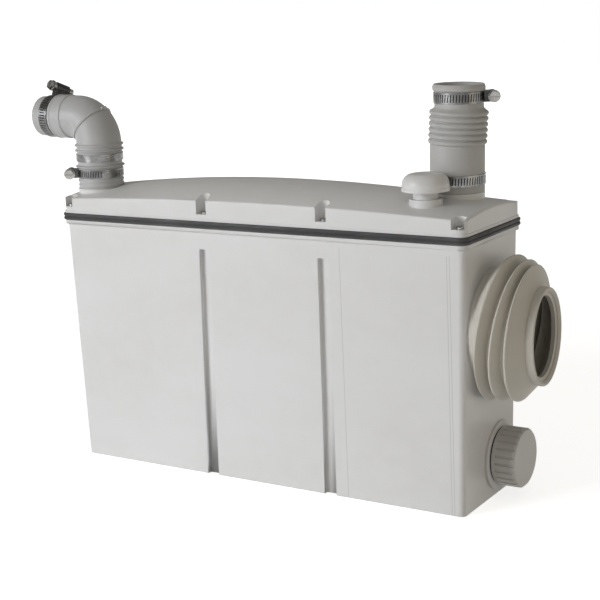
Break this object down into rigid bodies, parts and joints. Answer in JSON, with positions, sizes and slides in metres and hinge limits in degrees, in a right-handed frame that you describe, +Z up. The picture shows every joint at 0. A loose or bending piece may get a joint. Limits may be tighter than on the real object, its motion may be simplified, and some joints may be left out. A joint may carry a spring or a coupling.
{
  "type": "macerator toilet pump",
  "caption": "Tank-shaped macerator pump with an arched lid, pan inlet bellows, ribbed waste inlet hose, vent cap, drain cap and swivelling discharge elbow.",
  "frame": {"origin": "centre of the tank's foot, on the floor", "axes": "+X to the pan inlet, +Y to the wall behind, +Z up"},
  "size_m": [0.6035, 0.1557, 0.4303],
  "materials": {
    "abs_white": "satin moulded, off-white",
    "vent_white": "satin moulded, near white",
    "gasket_rubber": "matt, charcoal",
    "bellows_rubber": "matt, warm grey",
    "elbow_rubber": "soft sheen, light grey",
    "stainless": "rolled strip, bright",
    "zinc_steel": "zinc plated",
    "dark_rubber": "matt, black",
    "grey_plastic": "glass-filled, matt grey",
    "black_plastic": "matt, black",
    "white_nylon": "natural nylon, matt",
    "motor_alloy": "die cast, dull",
    "motor_steel": "dark enamel over pressed steel",
    "lamination": "stacked sheet, dull",
    "copper_winding": "varnished copper wire",
    "cutter_steel": "ground, sharp edges",
    "pump_plastic": "glass-filled, dark grey",
    "foam_black": "open charcoal foam",
    "brass_pin": "drawn, plain"
  },
  "bodies": {
    "casing": {"tank": "abs_white", "lid": "abs_white", "lid_gasket": "gasket_rubber", "lid_screws": "zinc_steel", "wc_bellows": "bellows_rubber", "inlet_hose": "bellows_rubber", "cable_gland": "grey_plastic", "motor_deck": "grey_plastic", "deck_screws": "zinc_steel", "motor_can": "motor_steel", "motor_end_cap": "motor_alloy", "lower_bearing": "stainless", "upper_bearing": "stainless", "stator_core": "lamination", "stator_windings": "copper_winding", "shaft_column": "motor_alloy", "shaft_seal": "dark_rubber", "pump_volute": "pump_plastic", "suction_cover": "pump_plastic", "grinder_basket": "cutter_steel", "discharge_pipe": "white_nylon", "pipe_sleeves": "dark_rubber", "valve_seat": "white_nylon", "valve_pin": "brass_pin", "pressure_chamber": "white_nylon", "pressure_diaphragm": "dark_rubber", "pressure_cover": "white_nylon", "microswitch": "black_plastic", "run_capacitor": "black_plastic", "terminal_block": "white_nylon", "inlet_base_clip_band": "stainless", "inlet_base_clip_housing": "stainless", "inlet_top_clip_band": "stainless", "inlet_top_clip_housing": "stainless"},
    "rotor": {"motor_shaft": "stainless", "rotor_core": "lamination", "impeller": "pump_plastic", "cutter_blade": "cutter_steel"},
    "valve_flap": {"valve_flap": "dark_rubber"},
    "switch_plunger": {"switch_plunger": "white_nylon"},
    "elbow": {"discharge_elbow": "elbow_rubber", "elbow_base_clip_band": "stainless", "elbow_base_clip_housing": "stainless", "elbow_middle_clip_band": "stainless", "elbow_middle_clip_housing": "stainless", "elbow_mouth_clip_band": "stainless", "elbow_mouth_clip_housing": "stainless"},
    "vent_cap": {"vent_cap": "vent_white", "vent_filter": "foam_black"},
    "drain_seal": {"drain_seal": "dark_rubber"},
    "drain_cap": {"drain_cap": "abs_white"},
    "inlet_base_clip_screw": {"inlet_base_clip_screw": "zinc_steel"},
    "inlet_top_clip_screw": {"inlet_top_clip_screw": "zinc_steel"},
    "elbow_base_clip_screw": {"elbow_base_clip_screw": "zinc_steel"},
    "elbow_middle_clip_screw": {"elbow_middle_clip_screw": "zinc_steel"},
    "elbow_mouth_clip_screw": {"elbow_mouth_clip_screw": "zinc_steel"}
  },
  "joints": [
    {"name": "motor_spin", "type": "hinge", "parent": "casing", "child": "rotor", "pos_m": [0.105, 0, 0.15], "axis": [0, 0, 1], "continuous": true},
    {"name": "non_return_flap", "type": "hinge", "parent": "casing", "child": "valve_flap", "pos_m": [-0.2235, -0.0407, 0.31679], "axis": [1, 0, 0], "range_deg": [0, 65]},
    {"name": "level_switch_push", "type": "slide", "parent": "casing", "child": "switch_plunger", "axis": [0, 0, 1], "range_m": [0, 0.0025], "stiffness_N_per_m": 200, "springref_m": -0.0005},
    {"name": "elbow_swivel", "type": "hinge", "parent": "casing", "child": "elbow", "pos_m": [-0.2235, -0.0265, 0.325], "axis": [0, 0, 1], "range_deg": [-90, 90]},
    {"name": "vent_cap_lift", "type": "slide", "parent": "casing", "child": "vent_cap", "axis": [0, 0, 1], "range_m": [0, 0.025]},
    {"name": "drain_seal_travel", "type": "slide", "parent": "casing", "child": "drain_seal", "axis": [1, 0, 0], "range_m": [0, 0.0081]},
    {"name": "drain_cap_turn", "type": "hinge", "parent": "drain_seal", "child": "drain_cap", "pos_m": [0.255, 0.0235, 0.041], "axis": [1, 0, 0], "range_deg": [0, 720]},
    {"name": "inlet_base_clip_screw_turn", "type": "hinge", "parent": "casing", "child": "inlet_base_clip_screw", "pos_m": [0.19753, 0.05758, 0.3285], "axis": [0.9968, 0.0797, 0], "continuous": true},
    {"name": "inlet_top_clip_screw_turn", "type": "hinge", "parent": "casing", "child": "inlet_top_clip_screw", "pos_m": [0.23269, 0.03852, 0.4105], "axis": [0.5291, -0.8486, 0], "continuous": true},
    {"name": "elbow_base_clip_screw_turn", "type": "hinge", "parent": "elbow", "child": "elbow_base_clip_screw", "pos_m": [-0.25265, -0.04467, 0.3265], "axis": [0.5291, -0.8486, 0], "continuous": true},
    {"name": "elbow_middle_clip_screw_turn", "type": "hinge", "parent": "elbow", "child": "elbow_middle_clip_screw", "pos_m": [-0.24345, 0.0022, 0.3445], "axis": [-0.8211, -0.5708, 0], "continuous": true},
    {"name": "elbow_mouth_clip_screw_turn", "type": "hinge", "parent": "elbow", "child": "elbow_mouth_clip_screw", "pos_m": [-0.2844, -0.01317, 0.41859], "axis": [-0.2588, -0.8807, 0.3968], "continuous": true}
  ],
  "couplings": [
    {"joint": "drain_seal_travel", "follows": "drain_cap_turn", "m_per_rad": 0.00063662}
  ]
}
